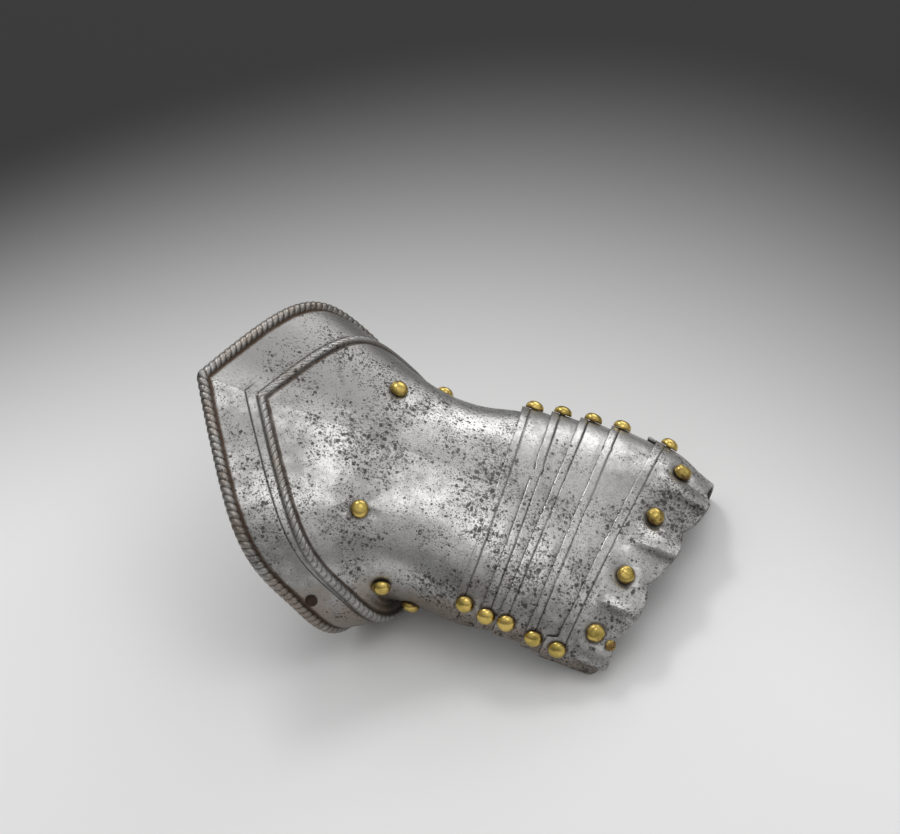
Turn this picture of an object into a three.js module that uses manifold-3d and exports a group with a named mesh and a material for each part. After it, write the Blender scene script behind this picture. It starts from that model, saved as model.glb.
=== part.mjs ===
// Armoured gauntlet for a right hand: a flared, pointed cuff with a roped rim, four sliding lames
// over the back of the hand and an embossed knuckle plate, all joined by domed brass rivets.
// Millimetres. The glove is laid out along +X (rim to knuckles) with the index side at +Y and the
// back of the hand at +Z, and its last group lays it palm down on the surface that it rests on.
import * as THREE from "three";
import { mergeVertices } from "three/addons/utils/BufferGeometryUtils.js";
import Module from "manifold-3d";

const wasm = await Module();
wasm.setup();

// Driving dimensions.
const PLATE = 1.2;            // thickness of the sheet
const SHINGLE_GAP = 0.5;      // air between one plate and the next
const UNDERLAP = 6.5;         // how far a plate runs on under the one in front of it
const ROLL_RADIUS = 2.5;      // rolled rim
const ROLL_STEPS = 56;
const ROLL_SIDES = 6;
const BAND_CREST = 29;        // where the raised roped band's point lies on the keel
const BAND_RISE = 1.5;
const SEAM_ANGLE = 177;       // the cuff's two edges face each other under the wrist
const CUFF_ROUND_STEPS = 48;
const LAME_ROUND_STEPS = 26;
const LAME_ALONG_STEPS = 2;
const KNUCKLE_ROUND_STEPS = 44;
const KNUCKLE_ALONG_STEPS = 7;
const HEAD_RADIUS = 3.95;     // domed brass head
const HEAD_HEIGHT = 3.5;
const STUB_RADIUS = 2.6;      // broken steel rivet on the flare
const STUB_HEIGHT = 1.6;
const INNER_HEAD_RADIUS = 3.2;
const SHANK_RADIUS = 1.2;
const CLENCH_RADIUS = 2.2;    // flattened end inside
const CLENCH_HEIGHT = 0.8;
const HOLE_RADIUS = SHANK_RADIUS + 0.55;
const HOLE_REACH = 7;
const RIVET_GAP = 0.4;        // air under a head
const CLENCH_GAP = 0.9;       // air between the sheet and a clenched end, which stays square
const SEAT_RADIUS = 4.3;      // a little wider than the head
const SEAT_STEPS = 8;
const ROUND_SIDES = 8;
const DOME_STEPS = 3;

// The glove's cross sections. Each is a rounded arch named by where it crosses the crest of the
// glove. slant is how much further forward it lies underneath than on the crest; crestDrop, sideDrop and
// underDrop are how far below the crest line its top, widest place and underside lie.
const SECTIONS = [
  { crest: 3, slant: 99, crestDrop: 0, halfWidth: 66, sideDrop: 33, underDrop: 70, power: 3.0, keel: 3.0 },
  { crest: 15, slant: 97, crestDrop: 0, halfWidth: 61, sideDrop: 31, underDrop: 66, power: 3.0, keel: 3.0 },
  { crest: 29, slant: 90, crestDrop: 0, halfWidth: 56, sideDrop: 29.5, underDrop: 61, power: 3.0, keel: 2.8 },
  { crest: 60, slant: 54, crestDrop: 0, halfWidth: 50.5, sideDrop: 29, underDrop: 58, power: 2.7, keel: 2.4 },
  { crest: 90, slant: 19, crestDrop: 0, halfWidth: 46.5, sideDrop: 29.5, underDrop: 57, power: 2.4, keel: 1.6 },
  { crest: 113, slant: 5, crestDrop: 0, halfWidth: 45, sideDrop: 28, underDrop: 56, power: 2.3, keel: 1.0 },
  { crest: 134, slant: 0, crestDrop: 0, halfWidth: 48, sideDrop: 24, underDrop: 56, power: 2.3, keel: 0.5 },
  { crest: 158, slant: 0, crestDrop: 0, halfWidth: 50.5, sideDrop: 20, underDrop: 54, power: 2.4, keel: 0.2 },
  { crest: 181, slant: 0, crestDrop: 0, halfWidth: 53, sideDrop: 21, underDrop: 54, power: 2.4, keel: 0.0 },
  { crest: 202, slant: 0, crestDrop: 1, halfWidth: 53, sideDrop: 24, underDrop: 54, power: 2.4, keel: 0.0 },
  { crest: 226, slant: 0, crestDrop: 5, halfWidth: 46, sideDrop: 28, underDrop: 54, power: 2.4, keel: 0.0 },
];
const UNDER_POWER = 2.6;
const SLANT_BULGE = 0.29;     // how a slanted section bows forward between crest and underside
const SWAY = 0.03;            // share of the slant by which the little-finger side leads
const KEEL_ANGLE = 34;

// The raised rear edge of each plate and its two pivots, measured along the glove on the index
// side and on the little-finger side; low is how far round the little-finger pivot stands. The
// first four rows are the lames, the last is the knuckles.
const PLATES = [
  { name: "metacarpal_lame_1", index: 134.4, little: 134.4, pivotIndex: 139.6, pivotLittle: 139.0, low: -74 },
  { name: "metacarpal_lame_2", index: 147.0, little: 146.2, pivotIndex: 151.4, pivotLittle: 148.9, low: -77 },
  { name: "metacarpal_lame_3", index: 159.2, little: 153.6, pivotIndex: 164.2, pivotLittle: 157.6, low: -76 },
  { name: "metacarpal_lame_4", index: 172.6, little: 166.3, pivotIndex: 176.6, pivotLittle: 170.3, low: -79 },
  { name: "knuckle_plate", index: 192.8, little: 179.0, pivotIndex: 197.4, pivotLittle: 181.0, low: -78 },
];
const KNUCKLES = PLATES.length - 1;
const KNUCKLE_FRONT = { index: 221.5, little: 197.5 };
const REACH_INDEX = 100;      // how far round each plate runs from the crest, in degrees
const REACH_LITTLE = 99;
const PIVOT_ANGLE_INDEX = 70;
const EAR_ANGLE = 68;         // the knuckle plate's ears start here and run back round the pivots
const EAR_LENGTH = 4.2;
const SCALLOP = 2.6;          // how far each knuckle's lobe runs past the notches beside it
const KNUCKLE_RISE = 4.2;
const KNUCKLE_SHARE = 0.74;   // the rest of the width stays flat round the rivets
const KNUCKLE_START = 5;      // from the plate's rear edge to where the knuckles begin to rise
const KNUCKLE_RUN = 16;
const VALLEYS = [43, 11, -22, -55, -100];      // angles between which the knuckles stand

// Lines round the cuff from its rim to its front, with the raised band's four in the middle.
const CUFF_LINES = [
  { crest: SECTIONS[0].crest, rise: 0 },
  { crest: 9, rise: 0 },
  { crest: 17, rise: 0 },
  { crest: BAND_CREST - 2.2, rise: 0 },
  { crest: BAND_CREST - 1.0, rise: BAND_RISE },
  { crest: BAND_CREST + 1.0, rise: BAND_RISE },
  { crest: BAND_CREST + 2.2, rise: 0 },
  { crest: 40, rise: 0 },
  { crest: 52, rise: 0 },
  { crest: 64, rise: 0 },
  { crest: 76, rise: 0 },
  { crest: 88, rise: 0 },
  { crest: 100, rise: 0 },
  { crest: 112, rise: 0 },
  { crest: 120, rise: 0 },
];

// The cuff ends under the first lame, in two side tabs, and further back under the wrist.
const CUFF_FRONT = PLATES[0].index + UNDERLAP;
const TAB_ANGLE = 110;
const TAB_HALF = 8;
const TAB_LENGTH = 5;
const PALM_FRONT = 122;

// Rivets that only hold a lining or a finger leather.
const LINING_RIVETS = [
  { name: "lining_rivet_1_index", crest: 75, angle: 34 },
  { name: "lining_rivet_2_index", crest: 91, angle: 80 },
  { name: "lining_rivet_3_index", crest: 113, angle: 118 },
  { name: "lining_rivet_1_little", crest: 74, angle: -37 },
  { name: "lining_rivet_2_little", crest: 90, angle: -88 },
  { name: "lining_rivet_3_little", crest: 113, angle: -118 },
];
const KNUCKLE_RIVETS = [
  { name: "knuckle_rivet_1", crest: 206.0, angle: 43 },
  { name: "knuckle_rivet_2", crest: 201.2, angle: 11 },
  { name: "knuckle_rivet_3", crest: 197.4, angle: -22 },
  { name: "knuckle_rivet_4", crest: 193.4, angle: -55 },
];
const INNER_RIVET = { crest: 200.6, angle: -60 };
const STUB_RIVET = { crest: 10, angle: -91 };

// How the glove lies, palm down on the lowest point of its rim and on the two rear corners of the
// knuckle plate, in degrees.
const REST_PITCH = 22.07;
const REST_ROLL = 7.48;

const STEEL = { color: 0xb4b6b8, roughness: 0.38, metalness: 1 };
const DARK_STEEL = { color: 0x5f5a55, roughness: 0.6, metalness: 1 };
const BRASS = { color: 0xb08d3c, roughness: 0.35, metalness: 1 };

const { lerp, smoothstep, clamp, degToRad } = THREE.MathUtils;

// One row of SECTIONS worked out at any crest distance, smoothly between the rows.
function sectionAt(crest) {
  const last = SECTIONS.length - 1;
  let row = 0;
  while (row < last - 1 && crest > SECTIONS[row + 1].crest) row += 1;
  const here = SECTIONS[row];
  const next = SECTIONS[row + 1];
  const before = SECTIONS[Math.max(row - 1, 0)];
  const after = SECTIONS[Math.min(row + 2, last)];
  const span = next.crest - here.crest;
  const t = (crest - here.crest) / span;
  const section = {};
  for (const name of Object.keys(here)) {
    const leaving = ((next[name] - before[name]) * span) / (next.crest - before.crest);
    const arriving = ((after[name] - here[name]) * span) / (after.crest - here.crest);
    const curve = (2 * t - 3) * t * t;
    section[name] = here[name] * (1 + curve) - next[name] * curve
      + leaving * t * (1 - t) * (1 - t) - arriving * t * t * (1 - t);
  }
  return section;
}

// A point of the glove's inner surface: angle 0 is the crest, +90 the index side.
function glovePoint(crest, angle) {
  const section = sectionAt(crest);
  const side = Math.sin(degToRad(angle));
  const up = Math.cos(degToRad(angle));
  const power = up > 0 ? section.power : UNDER_POWER;
  const size = (Math.abs(side) ** power + Math.abs(up) ** power) ** (1 / power);
  const depth = up > 0 ? section.sideDrop - section.crestDrop : section.underDrop - section.sideDrop;
  const turn = Math.abs(angle) / 180;
  const bow = turn * (1 + SLANT_BULGE * Math.sin(Math.PI * turn));
  const forward = section.slant * (bow - SWAY * side);
  const keel = section.keel * Math.max(0, 1 - Math.abs(angle) / KEEL_ANGLE) ** 2;
  return new THREE.Vector3(
    crest + forward,
    (section.halfWidth * side) / size,
    (depth * up) / size - section.sideDrop + keel,
  );
}

function gloveNormal(crest, angle) {
  const step = 0.5;
  const along = glovePoint(crest + step, angle).sub(glovePoint(crest - step, angle));
  const round = glovePoint(crest, angle + step).sub(glovePoint(crest, angle - step));
  return round.cross(along).normalize().negate();
}

function raisedPoint(crest, angle, height) {
  return glovePoint(crest, angle).addScaledVector(gloveNormal(crest, angle), height);
}

// Shares a length measured on the two sides of the glove over the arch between them.
function across(index, little, angle) {
  const side = Math.sin(degToRad(clamp(angle, -90, 90)));
  return lerp(index, little, (1 - side) / 2);
}

function rearEdge(plate, angle) {
  const row = PLATES[plate];
  const edge = across(row.index, row.little, angle);
  const ear = plate === KNUCKLES ? smoothstep(Math.abs(angle), EAR_ANGLE, EAR_ANGLE + 4) : 0;
  return edge - EAR_LENGTH * ear;
}

// Where an angle falls between the two valleys beside it: -1 and 1 in the valleys, 0 midway.
function knucklePlace(angle) {
  for (let k = 0; k < VALLEYS.length - 1; k += 1) {
    if (angle <= VALLEYS[k] && angle >= VALLEYS[k + 1]) {
      return (2 * (angle - VALLEYS[k])) / (VALLEYS[k + 1] - VALLEYS[k]) - 1;
    }
  }
  return 1;
}

function frontEdge(plate, angle) {
  if (plate < KNUCKLES) {
    return across(PLATES[plate + 1].index, PLATES[plate + 1].little, angle) + UNDERLAP;
  }
  const lobe = SCALLOP * (1 - knucklePlace(angle) ** 2);
  return across(KNUCKLE_FRONT.index, KNUCKLE_FRONT.little, angle) + lobe;
}

// Height of a plate's inner face over the glove: it rides up over the plate behind it and comes
// down towards its front edge, where the next plate covers it.
function plateHeight(plate, crest, angle) {
  const rear = across(PLATES[plate].index, PLATES[plate].little, angle);
  const front = plate < KNUCKLES ? frontEdge(plate, angle) : rear + 24;
  const length = front - rear;
  const step = PLATE + SHINGLE_GAP;
  const behind = plate > 0 ? plateHeight(plate - 1, rear, angle) : 0;
  const top = Math.max((step * length) / (length - UNDERLAP), step + behind);
  return Math.max(0, (top * (front - crest)) / length);
}

// Embossing of the knuckles: a sharp ridge along each, fading out towards the wrist.
function knuckleRise(crest, angle) {
  const start = rearEdge(KNUCKLES, clamp(angle, -EAR_ANGLE, EAR_ANGLE)) + KNUCKLE_START;
  const fade = smoothstep(crest, start, start + KNUCKLE_RUN);
  const inside = Math.max(0, KNUCKLE_SHARE - Math.abs(knucklePlace(angle))) / KNUCKLE_SHARE;
  return KNUCKLE_RISE * fade * inside ** 1.3;
}

function plateFace(plate, crest, angle) {
  const rise = plate === KNUCKLES ? knuckleRise(crest, angle) : 0;
  return plateHeight(plate, crest, angle) + rise;
}

function cuffFront(angle) {
  const round = Math.abs(angle);
  const tab = TAB_LENGTH * Math.max(0, 1 - Math.abs(round - TAB_ANGLE) / TAB_HALF);
  const palm = smoothstep(round, TAB_ANGLE + TAB_HALF, TAB_ANGLE + 3 * TAB_HALF);
  return lerp(CUFF_FRONT + tab, PALM_FRONT, palm);
}

function solidOf(geometry) {
  geometry.deleteAttribute("normal");
  geometry.deleteAttribute("uv");
  const merged = mergeVertices(geometry, 1e-4);
  return new wasm.Manifold(new wasm.Mesh({
    numProp: 3,
    vertProperties: new Float32Array(merged.attributes.position.array),
    triVerts: new Uint32Array(merged.index.array),
  }));
}

function meshOf(name, solid, look) {
  const cut = solid.getMesh();
  const geometry = new THREE.BufferGeometry();
  geometry.setAttribute("position", new THREE.BufferAttribute(cut.vertProperties, 3));
  geometry.setIndex(new THREE.BufferAttribute(cut.triVerts, 1));
  geometry.computeVertexNormals();
  const mesh = new THREE.Mesh(geometry, new THREE.MeshStandardMaterial(look));
  mesh.name = name;
  return mesh;
}

// Sheet metal: a divided box whose points are moved to place(along, round, outward), each 0 to 1.
function sheet(alongSteps, roundSteps, place) {
  const box = new THREE.BoxGeometry(1, 1, 1, alongSteps, roundSteps, 1);
  const points = box.attributes.position;
  const spot = new THREE.Vector3();
  for (let k = 0; k < points.count; k += 1) {
    spot.fromBufferAttribute(points, k).addScalar(0.5);
    const moved = place(spot.x, spot.y, spot.z);
    points.setXYZ(k, moved.x, moved.y, moved.z);
  }
  return solidOf(box);
}

// The rolled rim: a round bar along the rim from one side of the seam to the other.
function rolledRim() {
  const points = [];
  for (let k = 0; k <= ROLL_STEPS; k += 1) {
    const angle = lerp(-SEAM_ANGLE, SEAM_ANGLE, k / ROLL_STEPS);
    points.push(raisedPoint(SECTIONS[0].crest, angle, PLATE / 2));
  }
  const path = new THREE.CatmullRomCurve3(points);
  const outline = new THREE.Shape();
  for (let k = 0; k < ROLL_SIDES; k += 1) {
    const turn = (k / ROLL_SIDES) * 2 * Math.PI;
    const spot = [ROLL_RADIUS * Math.cos(turn), ROLL_RADIUS * Math.sin(turn)];
    if (k === 0) outline.moveTo(...spot);
    else outline.lineTo(...spot);
  }
  const options = { steps: ROLL_STEPS, extrudePath: path, bevelEnabled: false };
  return solidOf(new THREE.ExtrudeGeometry(outline, options));
}

// Where a rivet stands on a face: a frame with its Z away from the sheet (side 1 is outward, -1
// inward) and the lift that a flat head needs to clear the bent sheet all over its seat.
function standOn(face, crest, angle, side = 1) {
  const middle = face(crest, angle);
  const along = face(crest + 1, angle).sub(face(crest - 1, angle));
  const round = face(crest, angle + 1).sub(face(crest, angle - 1));
  const reach = (2 * SEAT_RADIUS) / along.length();
  const turn = (2 * SEAT_RADIUS) / round.length();
  const length = face(crest + reach, angle).sub(face(crest - reach, angle));
  const width = face(crest, angle + turn).sub(face(crest, angle - turn));
  const away = width.cross(length).normalize();
  away.multiplyScalar(side * Math.sign(away.dot(gloveNormal(crest, angle))));
  let lift = 0;
  for (let row = -SEAT_STEPS; row <= SEAT_STEPS; row += 1) {
    for (let column = -SEAT_STEPS; column <= SEAT_STEPS; column += 1) {
      const ahead = (2 * reach * row) / SEAT_STEPS;
      const across = (2 * turn * column) / SEAT_STEPS;
      const spot = face(crest + ahead, angle + across).sub(middle);
      const height = spot.dot(away);
      if (spot.length() < SEAT_RADIUS) lift = Math.max(lift, height);
    }
  }
  const facing = new THREE.Quaternion().setFromUnitVectors(new THREE.Vector3(0, 0, 1), away);
  return { lift, frame: new THREE.Matrix4().compose(middle, facing, new THREE.Vector3(1, 1, 1)) };
}

function holeThrough(frame) {
  const bar = new THREE.CylinderGeometry(HOLE_RADIUS, HOLE_RADIUS, 2 * HOLE_REACH, ROUND_SIDES);
  bar.rotateX(Math.PI / 2);
  bar.applyMatrix4(frame);
  return solidOf(bar);
}

// A rivet along Z: its head stands above z = base, over the outer face at z = 0, and its clenched
// end lies under z = -grip, the inner face.
function rivetProfile(headRadius, headHeight, base, grip) {
  const neck = -grip - CLENCH_GAP;
  const foot = neck - CLENCH_HEIGHT;
  const profile = [
    new THREE.Vector2(0, foot),
    new THREE.Vector2(CLENCH_RADIUS, foot),
    new THREE.Vector2(CLENCH_RADIUS, neck),
    new THREE.Vector2(SHANK_RADIUS, neck),
    new THREE.Vector2(SHANK_RADIUS, base),
  ];
  for (let k = 0; k < DOME_STEPS; k += 1) {
    const turn = (k / DOME_STEPS) * (Math.PI / 2);
    const out = headRadius * Math.cos(turn);
    profile.push(new THREE.Vector2(out, base + headHeight * Math.sin(turn)));
  }
  profile.push(new THREE.Vector2(0, base + headHeight));
  return profile;
}

function rivet(name, look, headRadius, headHeight, grip, { frame, lift }) {
  const profile = rivetProfile(headRadius, headHeight, lift + RIVET_GAP, grip);
  const turned = new THREE.LatheGeometry(profile, ROUND_SIDES);
  turned.rotateX(Math.PI / 2);
  const mesh = meshOf(name, solidOf(turned), look);
  frame.decompose(mesh.position, mesh.quaternion, mesh.scale);
  return mesh;
}

const glove = new THREE.Group();

const cuffFace = (crest, angle) => raisedPoint(crest, angle, PLATE);
const plateOuter = (plate) => (crest, angle) =>
  raisedPoint(crest, angle, plateFace(plate, crest, angle) + PLATE);
const knuckleInner = (crest, angle) =>
  raisedPoint(crest, angle, plateFace(KNUCKLES, crest, angle));

const LINING = LINING_RIVETS.map(({ name, crest, angle }) => (
  { name, seat: standOn(cuffFace, crest, angle) }
));
const STUB = standOn(cuffFace, STUB_RIVET.crest, STUB_RIVET.angle);
const KNUCKLE_ROW = KNUCKLE_RIVETS.map(({ name, crest, angle }) => (
  { name, seat: standOn(plateOuter(KNUCKLES), crest, angle) }
));
const INNER = standOn(knuckleInner, INNER_RIVET.crest, INNER_RIVET.angle, -1);
const PIVOTS = PLATES.map((row, plate) => [
  { side: "index", crest: row.pivotIndex, angle: PIVOT_ANGLE_INDEX },
  { side: "little", crest: row.pivotLittle, angle: row.low },
].map(({ side, crest, angle }) => {
  const inner = plate > 0 ? plateFace(plate - 1, crest, angle) : 0;
  return {
    name: `pivot_rivet_${plate + 1}_${side}`,
    grip: plateFace(plate, crest, angle) + PLATE - inner,
    seat: standOn(plateOuter(plate), crest, angle),
  };
}));

function drilled(solid, seats) {
  return seats.reduce((rest, seat) => rest.subtract(holeThrough(seat.frame)), solid);
}

// Cuff and wrist: one sheet wrapped round to a narrow seam underneath, its rim rolled outward
// over a wire and a second roped band raised in front of it.
function cuff() {
  const lastLine = CUFF_LINES.length - 1;
  const wrap = sheet(lastLine + 1, CUFF_ROUND_STEPS, (along, round, outward) => {
    const angle = lerp(-SEAM_ANGLE, SEAM_ANGLE, round);
    const line = Math.round(along * (lastLine + 1));
    if (line > lastLine) return raisedPoint(cuffFront(angle), angle, PLATE * outward);
    const { crest, rise } = CUFF_LINES[line];
    return raisedPoint(crest, angle, (PLATE + rise) * outward);
  });
  const seats = [...LINING, ...PIVOTS[0]].map(({ seat }) => seat);
  const solid = drilled(wrap.add(rolledRim()), [...seats, STUB]);
  glove.add(meshOf("cuff_plate", solid, STEEL));
}

// A lame or the knuckle plate, drilled for its own pivots and for those of the plate in front.
function handPlate(plate) {
  const knuckles = plate === KNUCKLES;
  const alongSteps = knuckles ? KNUCKLE_ALONG_STEPS : LAME_ALONG_STEPS;
  const roundSteps = knuckles ? KNUCKLE_ROUND_STEPS : LAME_ROUND_STEPS;
  const bent = sheet(alongSteps, roundSteps, (along, round, outward) => {
    const angle = lerp(-REACH_LITTLE, REACH_INDEX, round);
    const crest = lerp(rearEdge(plate, angle), frontEdge(plate, angle), along);
    return raisedPoint(crest, angle, plateFace(plate, crest, angle) + PLATE * outward);
  });
  const front = knuckles ? KNUCKLE_ROW : PIVOTS[plate + 1];
  const seats = [...PIVOTS[plate], ...front].map(({ seat }) => seat);
  const solid = drilled(bent, knuckles ? [...seats, INNER] : seats);
  glove.add(meshOf(PLATES[plate].name, solid, STEEL));
}

cuff();
PLATES.forEach((row, plate) => handPlate(plate));
for (const { name, seat, grip } of PIVOTS.flat()) {
  glove.add(rivet(name, BRASS, HEAD_RADIUS, HEAD_HEIGHT, grip, seat));
}
for (const { name, seat } of [...LINING, ...KNUCKLE_ROW]) {
  glove.add(rivet(name, BRASS, HEAD_RADIUS, HEAD_HEIGHT, PLATE, seat));
}
glove.add(rivet("finger_leather_rivet", BRASS, INNER_HEAD_RADIUS, HEAD_HEIGHT, PLATE, INNER));
glove.add(rivet("cuff_stub_rivet", DARK_STEEL, STUB_RADIUS, STUB_HEIGHT, PLATE, STUB));

// Laid to rest, with the middle of its foot at the origin.
glove.rotation.set(degToRad(REST_ROLL), degToRad(REST_PITCH), 0, "YXZ");
const extent = new THREE.Box3().setFromObject(glove, true);
const middle = extent.getCenter(new THREE.Vector3());
glove.position.set(-middle.x, -middle.y, -extent.min.z);
const gauntlet = new THREE.Group();
gauntlet.add(glove);

export default gauntlet;
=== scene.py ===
import math

import bmesh
import bpy
import numpy as np
from mathutils import Matrix, Vector


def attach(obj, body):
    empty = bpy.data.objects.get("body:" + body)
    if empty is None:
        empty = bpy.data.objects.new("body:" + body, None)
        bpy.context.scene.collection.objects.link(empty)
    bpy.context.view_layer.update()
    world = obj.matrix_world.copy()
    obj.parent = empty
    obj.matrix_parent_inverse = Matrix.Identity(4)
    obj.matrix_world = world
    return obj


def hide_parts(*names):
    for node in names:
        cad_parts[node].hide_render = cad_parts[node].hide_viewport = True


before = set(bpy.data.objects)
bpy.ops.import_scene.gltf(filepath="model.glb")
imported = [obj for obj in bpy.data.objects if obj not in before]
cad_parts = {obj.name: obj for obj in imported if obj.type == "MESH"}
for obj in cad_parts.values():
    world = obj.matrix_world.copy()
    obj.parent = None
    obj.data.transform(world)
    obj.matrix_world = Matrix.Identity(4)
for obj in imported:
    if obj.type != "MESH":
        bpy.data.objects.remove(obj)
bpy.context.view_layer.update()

# --- Camera -------------------------------------------------------------------------------------
# Above and in front of the little-finger side, looking across the back of the glove with a long
# lens, and leaning so that the glove runs from upper left to lower right.
SIGHT_BACK = Vector((0.29207, -0.62904, 0.72037))
SIGHT_RIGHT = Vector((0.95242, 0.25948, -0.15959))
SIGHT_UP = SIGHT_BACK.cross(SIGHT_RIGHT)
SIGHT_CENTRE = Vector((0.0, 0.0, 0.05)) - SIGHT_RIGHT * 0.0009 + SIGHT_UP * 0.0279
LENS = 400.0
SENSOR = 36.0
VIEW_WIDTH = 0.378
viewer = bpy.data.cameras.new("viewer")
viewer.lens = LENS
viewer.sensor_width = SENSOR
viewer.clip_end = 50.0
camera = bpy.data.objects.new("viewer", viewer)
bpy.context.scene.collection.objects.link(camera)
facing = Matrix((SIGHT_RIGHT, SIGHT_UP, SIGHT_BACK)).transposed()
reach = VIEW_WIDTH * LENS / SENSOR
camera.matrix_world = Matrix.Translation(SIGHT_CENTRE + SIGHT_BACK * reach) @ facing.to_4x4()
bpy.context.scene.camera = camera
bpy.context.scene.view_settings.view_transform = "Standard"

# --- Floor --------------------------------------------------------------------------------------
# A sheet of studio paper, pale under and in front of the glove and painted darker to grey behind it, as
# painted shade of the light's falloff.
FLOOR_SIZE = 6.0
PAPER_PALE = (0.88, 0.88, 0.88, 1.0)
PAPER_FALLOFF_SHADE = (0.035, 0.035, 0.036, 1.0)
PAPER_TURN = math.radians(6.7)
PAPER_BOW = 1.5
sheet = bmesh.new()
bmesh.ops.create_grid(sheet, x_segments=1, y_segments=1, size=FLOOR_SIZE / 2)
floor_mesh = bpy.data.meshes.new("paper_floor")
sheet.to_mesh(floor_mesh)
sheet.free()
floor = bpy.data.objects.new("paper_floor", floor_mesh)
bpy.context.scene.collection.objects.link(floor)
paper = bpy.data.materials.new("floor_painted_falloff")
paper.use_nodes = True
nodes, links = paper.node_tree.nodes, paper.node_tree.links
paper_shader = nodes["Principled BSDF"]
paper_shader.inputs["Roughness"].default_value = 0.85
paper_shader.inputs["Specular IOR Level"].default_value = 0.2
place = nodes.new("ShaderNodeTexCoord")
turned = nodes.new("ShaderNodeMapping")
turned.inputs["Rotation"].default_value = (0.0, 0.0, PAPER_TURN)
split = nodes.new("ShaderNodeSeparateXYZ")
ramp = nodes.new("ShaderNodeMapRange")
ramp.interpolation_type = "SMOOTHSTEP"
ramp.inputs["From Min"].default_value = 0.0
ramp.inputs["From Max"].default_value = 0.32
aside = nodes.new("ShaderNodeMath")
aside.operation = "MULTIPLY"
bowed = nodes.new("ShaderNodeMath")
bowed.operation = "MULTIPLY_ADD"
bowed.inputs[1].default_value = PAPER_BOW
# painted shade: the floor's colour runs from pale in front to dark grey behind the glove
painted_falloff_grade = nodes.new("ShaderNodeMix")
painted_falloff_grade.data_type = "RGBA"
painted_falloff_grade.inputs["A"].default_value = PAPER_PALE
painted_falloff_grade.inputs["B"].default_value = PAPER_FALLOFF_SHADE
links.new(place.outputs["Object"], turned.inputs["Vector"])
links.new(turned.outputs["Vector"], split.inputs["Vector"])
links.new(split.outputs["X"], aside.inputs[0])
links.new(split.outputs["X"], aside.inputs[1])
links.new(aside.outputs["Value"], bowed.inputs[0])
links.new(split.outputs["Y"], bowed.inputs[2])
links.new(bowed.outputs["Value"], ramp.inputs["Value"])
links.new(ramp.outputs["Result"], painted_falloff_grade.inputs["Factor"])
links.new(painted_falloff_grade.outputs["Result"], paper_shader.inputs["Base Color"])
floor_mesh.materials.append(paper)

# --- Lights -------------------------------------------------------------------------------------
# A white tent that is bright overhead and grey in front, with panels low behind the glove, at its
# left and high over its right, and a small key high behind it, so that the steel mirrors long
# soft highlights and a soft shadow falls towards the front.
TENT_GREY = (0.24, 0.24, 0.24, 1.0)
TENT_WHITE = (0.78, 0.78, 0.78, 1.0)
TENT_TOP = (0.433, 0.25, 0.866)
PANEL_AWAY = 1.5
PANELS = [
    {"name": "rear_panel", "azimuth": 12, "elevation": 24, "wide": 0.85, "tall": 0.7, "glow": 2.0},
    {"name": "key_panel", "azimuth": -34, "elevation": 54, "wide": 0.35, "tall": 0.35, "glow": 11.0},
    {"name": "left_panel", "azimuth": -45, "elevation": 8, "wide": 0.9, "tall": 0.9, "glow": 0.7},
    {"name": "top_panel", "azimuth": 92, "elevation": 66, "wide": 0.7, "tall": 0.7, "glow": 1.6},
]
for row in PANELS:
    panel = bpy.data.lights.new(row["name"], "AREA")
    panel.shape = "RECTANGLE"
    panel.size = row["wide"]
    panel.size_y = row["tall"]
    panel.energy = row["glow"] * math.pi * row["wide"] * row["tall"]
    lamp = bpy.data.objects.new(row["name"], panel)
    azimuth, elevation = math.radians(row["azimuth"]), math.radians(row["elevation"])
    outward = Vector((
        math.sin(azimuth) * math.cos(elevation),
        math.cos(azimuth) * math.cos(elevation),
        math.sin(elevation),
    ))
    lamp.location = outward * PANEL_AWAY + Vector((0.0, 0.0, 0.05))
    lamp.rotation_euler = outward.to_track_quat("Z", "Y").to_euler()
    lamp.visible_camera = False
    bpy.context.scene.collection.objects.link(lamp)
tent = bpy.data.worlds.new("studio_tent")
tent.use_nodes = True
nodes, links = tent.node_tree.nodes, tent.node_tree.links
sky = nodes.new("ShaderNodeTexCoord")
toward = nodes.new("ShaderNodeVectorMath")
toward.operation = "DOT_PRODUCT"
toward.inputs[1].default_value = TENT_TOP
rise = nodes.new("ShaderNodeMapRange")
rise.interpolation_type = "SMOOTHSTEP"
rise.inputs["From Min"].default_value = -0.05
rise.inputs["From Max"].default_value = 0.95
wash = nodes.new("ShaderNodeMix")
wash.data_type = "RGBA"
wash.inputs["A"].default_value = TENT_GREY
wash.inputs["B"].default_value = TENT_WHITE
links.new(sky.outputs["Generated"], toward.inputs[0])
links.new(toward.outputs["Value"], rise.inputs["Value"])
links.new(rise.outputs["Result"], wash.inputs["Factor"])
links.new(wash.outputs["Result"], nodes["Background"].inputs["Color"])
bpy.context.scene.world = tent

# --- Steel --------------------------------------------------------------------------------------
# Old polished steel plate: bright and scuffed where it has been rubbed, peppered with fine black
# pits in patches, dark in cuts and nearly black inside. Painted shade dulls and browns the lower
# flanks and darkens the cuff's index flank and the knuckle creases.
MM = 0.001
STEEL_BRIGHT = (0.53, 0.525, 0.515, 1.0)
# the dull tone of the clouds, also used as painted shade on the flanks
STEEL_DULL_AND_SHADE = (0.30, 0.295, 0.287, 1.0)
STEEL_BROWN = (0.30, 0.235, 0.185, 1.0)
STEEL_PEPPER = (0.24, 0.232, 0.222, 1.0)
PIT_BLACK = (0.05, 0.046, 0.043, 1.0)
RUST_BROWN = (0.085, 0.058, 0.042, 1.0)
CUT_AND_SHADE_BLACK = (0.030, 0.028, 0.027, 1.0)
INSIDE_BLACK = (0.10, 0.088, 0.078, 1.0)


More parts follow.
